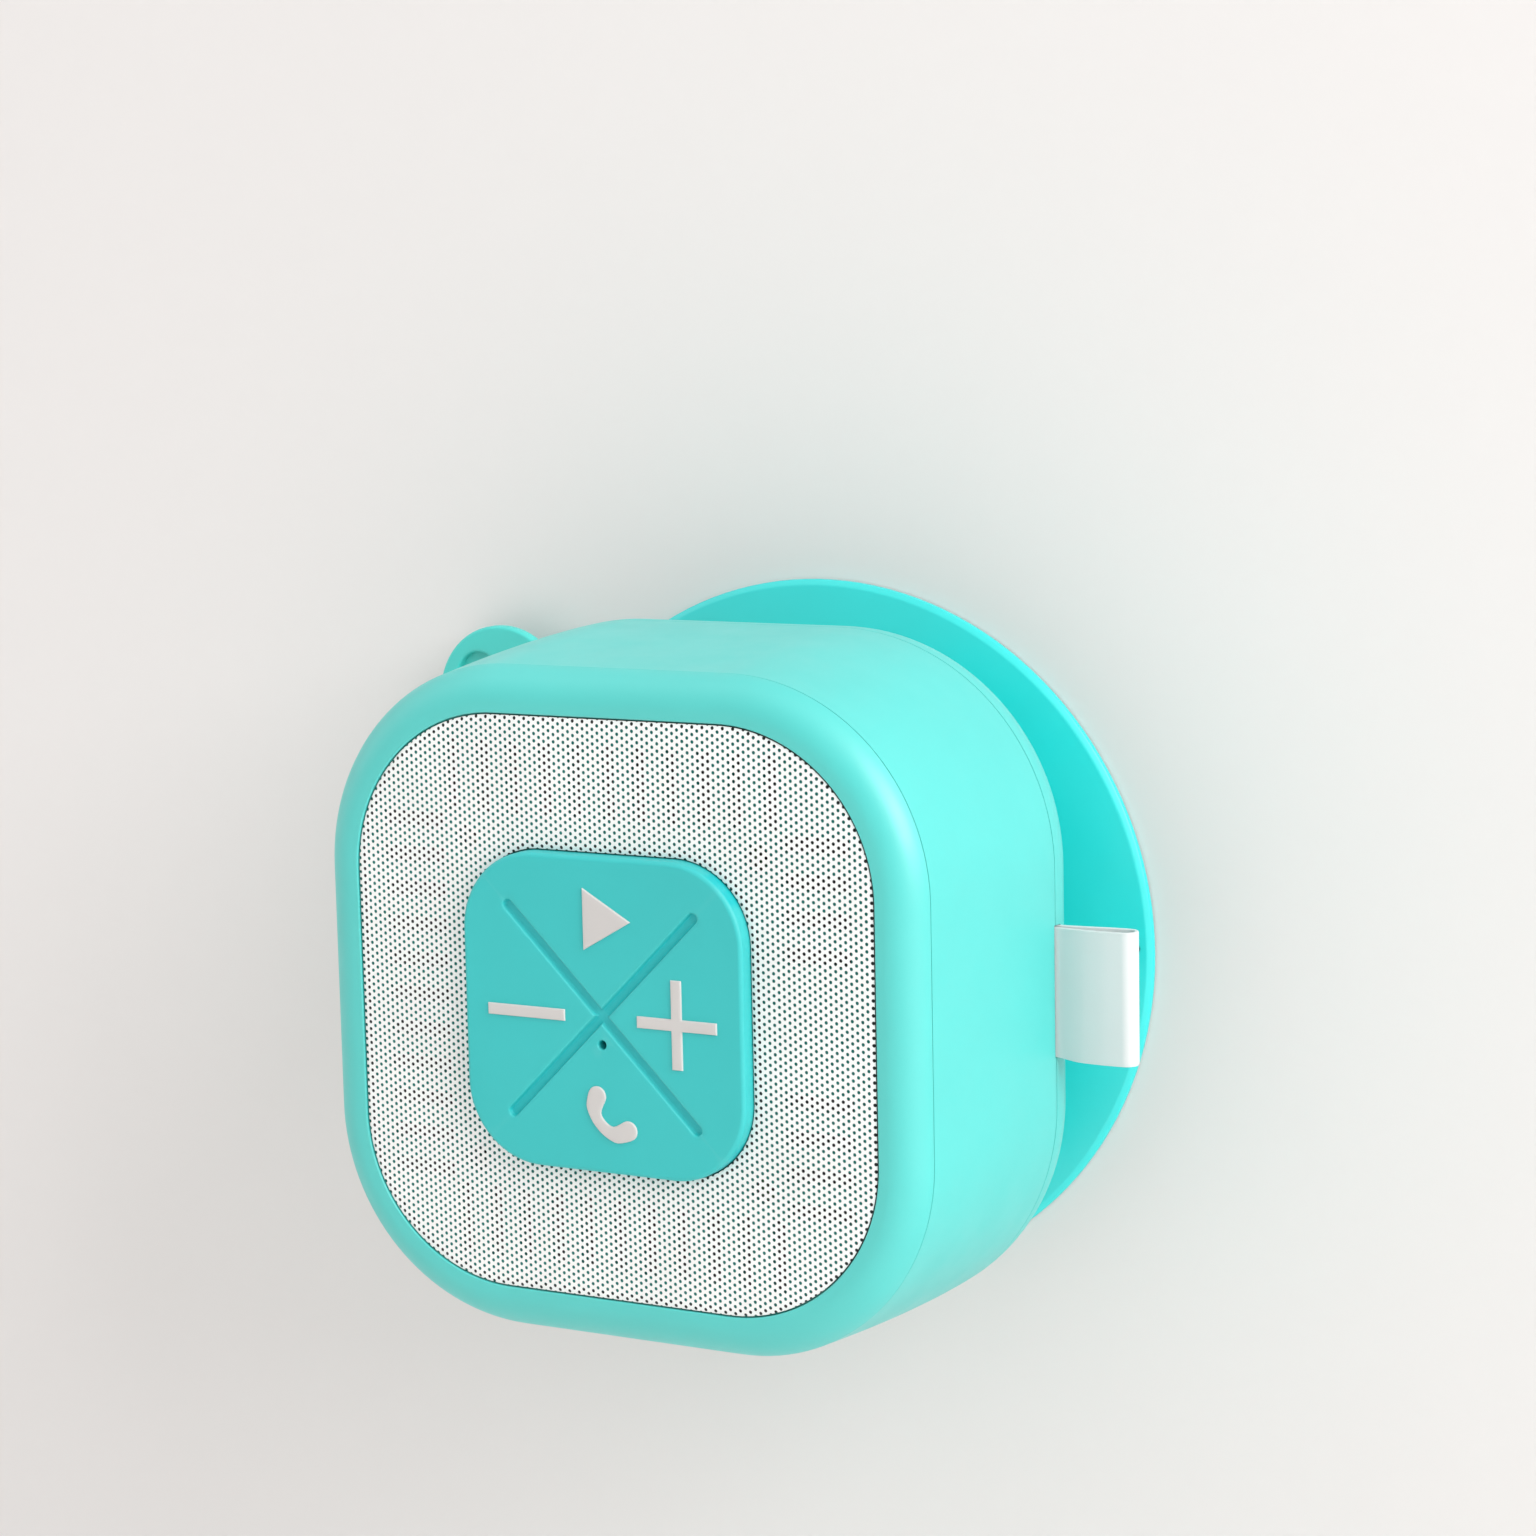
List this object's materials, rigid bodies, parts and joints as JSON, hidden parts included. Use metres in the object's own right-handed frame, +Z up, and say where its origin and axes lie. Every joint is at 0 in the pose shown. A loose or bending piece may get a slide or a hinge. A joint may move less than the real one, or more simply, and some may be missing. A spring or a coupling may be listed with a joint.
{
  "type": "shower speaker",
  "caption": "Rounded-square waterproof speaker with a perforated front grille and a crossed button pad, swivelling on a large suction cup with a pull tab; a loop tag at the side.",
  "frame": {"origin": "centre of the suction cup where it touches the wall", "axes": "+Y into the wall, so the front faces -Y; +Z up; +X to the right as seen from the front, the side with the loop tag"},
  "size_m": [0.1099, 0.0589, 0.093],
  "materials": {
    "teal_body": "soft-touch satin, turquoise",
    "teal_pad": "matt silicone, darker turquoise",
    "teal_rubber": "smooth silicone, turquoise",
    "white_grille": "white powder coat on perforated sheet",
    "pale_symbol": "matt pale grey",
    "white_tag": "smooth white elastomer",
    "black_cloth": "fine black acoustic cloth",
    "black_screw": "black oxide steel",
    "bright_steel": "plated steel",
    "copper": "enamelled copper wire winding",
    "ferrite": "dark sintered ferrite",
    "paper_cone": "black treated paper",
    "black_rubber": "black rubber",
    "spider_cloth": "resin-treated amber cloth",
    "green_board": "green solder mask",
    "black_plastic": "black moulded plastic",
    "clear_seal": "translucent silicone",
    "battery_sleeve": "metal can in a plain blue sleeve",
    "red_wire": "red insulated twin lead",
    "ribbon_film": "amber polyimide film"
  },
  "bodies": {
    "wall_mount": {"suction_cup": "teal_rubber", "cup_stud": "black_plastic"},
    "release_tab": {"pull_tab": "teal_rubber"},
    "housing": {"front_bezel": "teal_body", "mid_housing": "teal_body", "rear_cover": "teal_body", "front_baffle": "teal_body", "grille": "white_grille", "acoustic_mesh": "black_cloth", "keypad_membrane": "teal_pad", "front_gasket": "clear_seal", "rear_gasket": "clear_seal", "collar_ring": "black_plastic", "driver_frame": "black_plastic", "driver_gasket": "black_rubber", "driver_magnet": "ferrite", "driver_top_plate": "bright_steel", "driver_yoke": "bright_steel", "cone_surround": "black_rubber", "spider": "spider_cloth", "main_board": "green_board", "button_board": "green_board", "switch_play": "black_plastic", "switch_volume_up": "black_plastic", "switch_call": "black_plastic", "switch_volume_down": "black_plastic", "microphone": "bright_steel", "usb_connector": "bright_steel", "power_switch_body": "black_plastic", "battery_cell": "battery_sleeve", "bluetooth_module": "bright_steel", "ribbon_cable": "ribbon_film", "speaker_lead": "red_wire", "battery_lead": "black_rubber", "front_screw_1": "black_screw", "rear_screw_1": "bright_steel", "front_screw_2": "black_screw", "rear_screw_2": "bright_steel", "front_screw_3": "black_screw", "rear_screw_3": "bright_steel", "front_screw_4": "black_screw", "rear_screw_4": "bright_steel"},
    "loop_tag": {"loop_tag": "white_tag"},
    "port_flap": {"port_flap": "teal_rubber"},
    "power_slider": {"power_switch_slider": "pale_symbol"},
    "driver_cone": {"voice_coil": "copper", "speaker_cone": "paper_cone", "dust_cap": "paper_cone"},
    "key_play": {"key_play": "teal_pad", "symbol_play": "pale_symbol"},
    "plunger_play": {"plunger_play": "pale_symbol"},
    "key_volume_up": {"key_volume_up": "teal_pad", "symbol_volume_up": "pale_symbol"},
    "plunger_volume_up": {"plunger_volume_up": "pale_symbol"},
    "key_call": {"key_call": "teal_pad", "symbol_call": "pale_symbol"},
    "plunger_call": {"plunger_call": "pale_symbol"},
    "key_volume_down": {"key_volume_down": "teal_pad", "symbol_volume_down": "pale_symbol"},
    "plunger_volume_down": {"plunger_volume_down": "pale_symbol"}
  },
  "joints": [
    {"name": "cup_swivel", "type": "hinge", "parent": "wall_mount", "child": "housing", "pos_m": [0, 0, 0], "axis": [0, 1, 0], "continuous": true},
    {"name": "tab_lift", "type": "hinge", "parent": "wall_mount", "child": "release_tab", "pos_m": [-0.03964, -0.0043, 0.02506], "axis": [0.5344, 0, 0.8453], "range_deg": [0, 35], "stiffness_Nm_per_rad": 0.02},
    {"name": "tag_flex", "type": "hinge", "parent": "housing", "child": "loop_tag", "pos_m": [0.0426, -0.0227, -0.0006], "axis": [0, 0, 1], "range_deg": [-12, 12], "stiffness_Nm_per_rad": 0.01},
    {"name": "flap_hinge", "type": "hinge", "parent": "housing", "child": "port_flap", "pos_m": [0, -0.0309, -0.0423], "axis": [-1, 0, 0], "range_deg": [0, 100]},
    {"name": "power_slide", "type": "slide", "parent": "housing", "child": "power_slider", "axis": [1, 0, 0], "range_m": [0, 0.002]},
    {"name": "cone_travel", "type": "slide", "parent": "housing", "child": "driver_cone", "axis": [0, 1, 0], "range_m": [-0.001, 0.001], "stiffness_N_per_m": 1500, "deforming": ["cone_surround", "spider"]},
    {"name": "play_press", "type": "slide", "parent": "housing", "child": "key_play", "axis": [0, 1, 0], "range_m": [0, 0.0004], "stiffness_N_per_m": 3000},
    {"name": "play_plunger", "type": "slide", "parent": "housing", "child": "plunger_play", "axis": [0, 1, 0], "range_m": [0, 0.0004]},
    {"name": "volume_up_press", "type": "slide", "parent": "housing", "child": "key_volume_up", "axis": [0, 1, 0], "range_m": [0, 0.0004], "stiffness_N_per_m": 3000},
    {"name": "volume_up_plunger", "type": "slide", "parent": "housing", "child": "plunger_volume_up", "axis": [0, 1, 0], "range_m": [0, 0.0004]},
    {"name": "call_press", "type": "slide", "parent": "housing", "child": "key_call", "axis": [0, 1, 0], "range_m": [0, 0.0004], "stiffness_N_per_m": 3000},
    {"name": "call_plunger", "type": "slide", "parent": "housing", "child": "plunger_call", "axis": [0, 1, 0], "range_m": [0, 0.0004]},
    {"name": "volume_down_press", "type": "slide", "parent": "housing", "child": "key_volume_down", "axis": [0, 1, 0], "range_m": [0, 0.0004], "stiffness_N_per_m": 3000},
    {"name": "volume_down_plunger", "type": "slide", "parent": "housing", "child": "plunger_volume_down", "axis": [0, 1, 0], "range_m": [0, 0.0004]}
  ],
  "couplings": [
    {"joint": "play_plunger", "follows": "play_press", "ratio": 1},
    {"joint": "volume_up_plunger", "follows": "volume_up_press", "ratio": 1},
    {"joint": "call_plunger", "follows": "call_press", "ratio": 1},
    {"joint": "volume_down_plunger", "follows": "volume_down_press", "ratio": 1}
  ]
}
